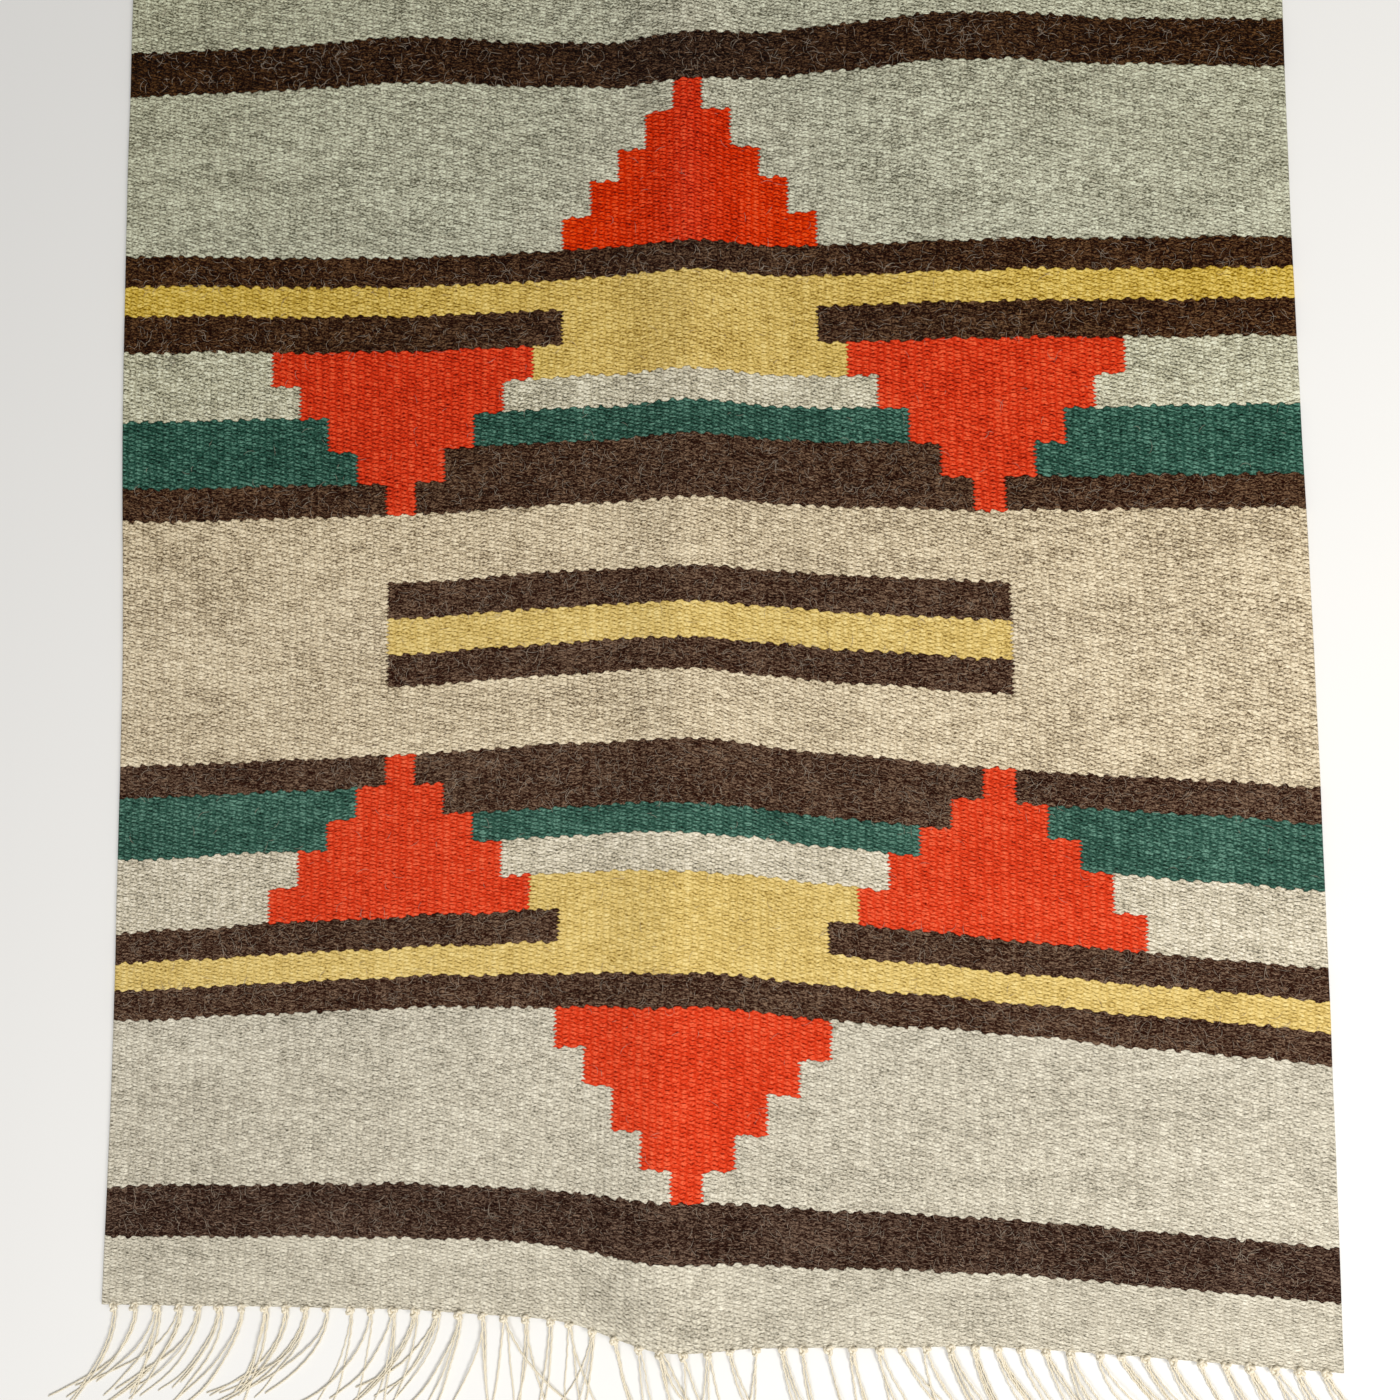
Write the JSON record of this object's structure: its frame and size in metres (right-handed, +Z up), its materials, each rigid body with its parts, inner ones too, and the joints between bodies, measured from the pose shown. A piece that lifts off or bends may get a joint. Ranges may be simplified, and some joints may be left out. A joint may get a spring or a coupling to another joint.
{
  "type": "flat-woven rug",
  "caption": "Flat-woven wool rug with stepped triangles and bands, laid flat, with a knotted cotton fringe along both ends.",
  "frame": {"origin": "middle of the laid rug's outline, fringe included, on the surface that it lies on", "axes": "+X across the rug to the right, +Y along the warps from the foot end to the head end, +Z up"},
  "size_m": [0.6615, 0.8239, 0.0102],
  "materials": {
    "woven_wool": "heathered wool weft in grey, dark brown, mustard, orange red and green, tightly beaten",
    "cotton_warp": "cream cotton warp ends, plied"
  },
  "bodies": {
    "root": {"cloth": "woven_wool", "fringe_head": "cotton_warp", "fringe_foot": "cotton_warp"}
  },
  "joints": []
}
